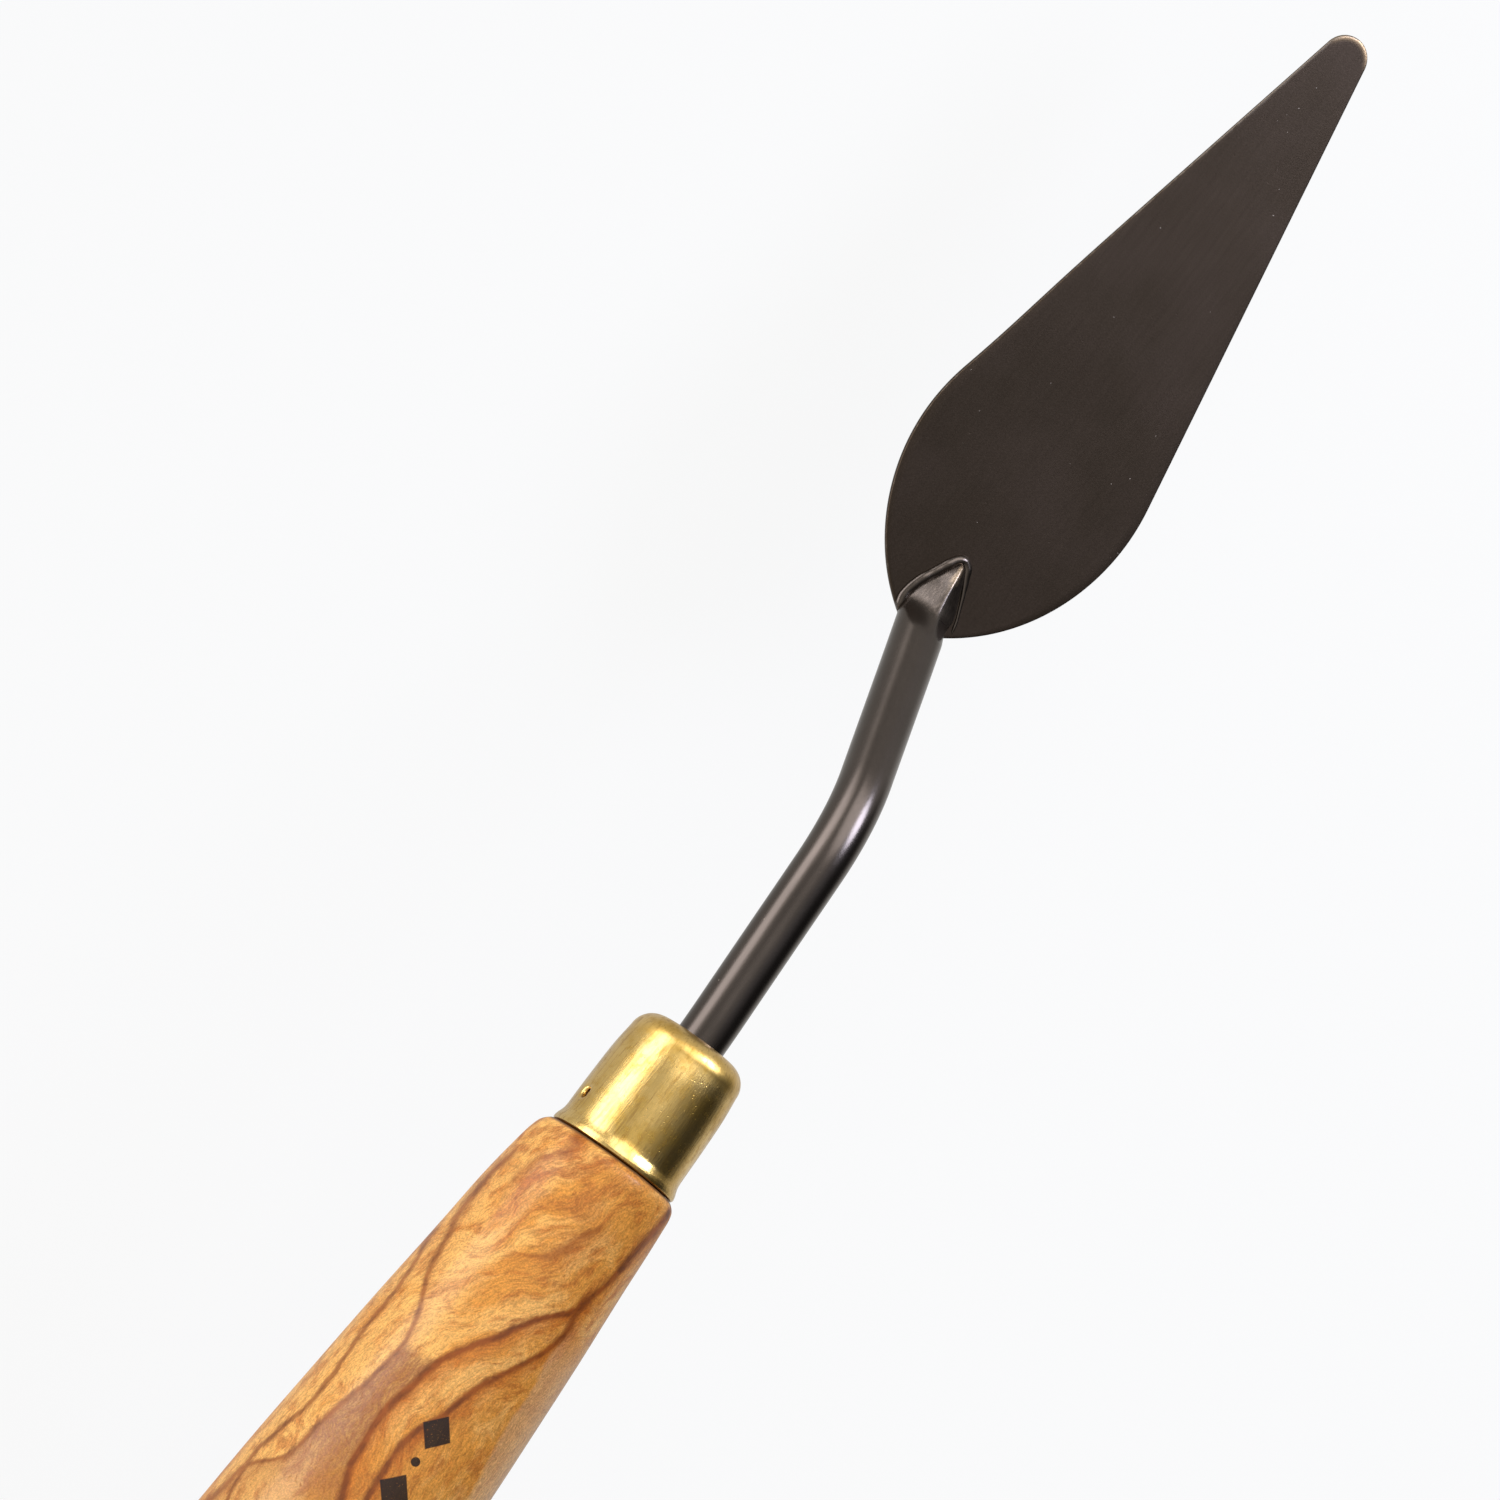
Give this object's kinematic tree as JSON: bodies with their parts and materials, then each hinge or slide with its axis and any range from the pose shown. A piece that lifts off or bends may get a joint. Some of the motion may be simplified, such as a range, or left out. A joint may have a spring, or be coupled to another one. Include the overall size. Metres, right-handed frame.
{
  "type": "palette knife",
  "caption": "Cranked palette knife with a springy pear-shaped blade, bent round steel neck, brass ferrule and turned wooden handle.",
  "frame": {"origin": "centre of the underside of the bounding box, on the plane of the blade's underside", "axes": "+X along the knife from the handle to the blade's tip, +Z out of the blade's upper face, on the side where the neck joins it, +Y to the left"},
  "size_m": [0.2292, 0.0228, 0.0286],
  "materials": {
    "handle_wood": "lacquered olive wood with dark veins",
    "ferrule_brass": "polished drawn brass with fine lengthwise lines",
    "neck_steel": "satin bronze-black coated steel rod",
    "blade_steel": "satin dark brown coated spring steel"
  },
  "bodies": {
    "knife": {"handle": "handle_wood", "ferrule": "ferrule_brass", "ferrule_pin_left": "ferrule_brass", "ferrule_pin_right": "ferrule_brass", "neck": "neck_steel", "weld_bead": "neck_steel", "blade_heel": "blade_steel"},
    "blade": {"blade": "blade_steel"}
  },
  "joints": [
    {"name": "blade_flex", "type": "hinge", "parent": "knife", "child": "blade", "pos_m": [0.05974, 0, 0.00025], "axis": [0, -1, 0], "range_deg": [-25, 25], "stiffness_Nm_per_rad": 0.8}
  ]
}
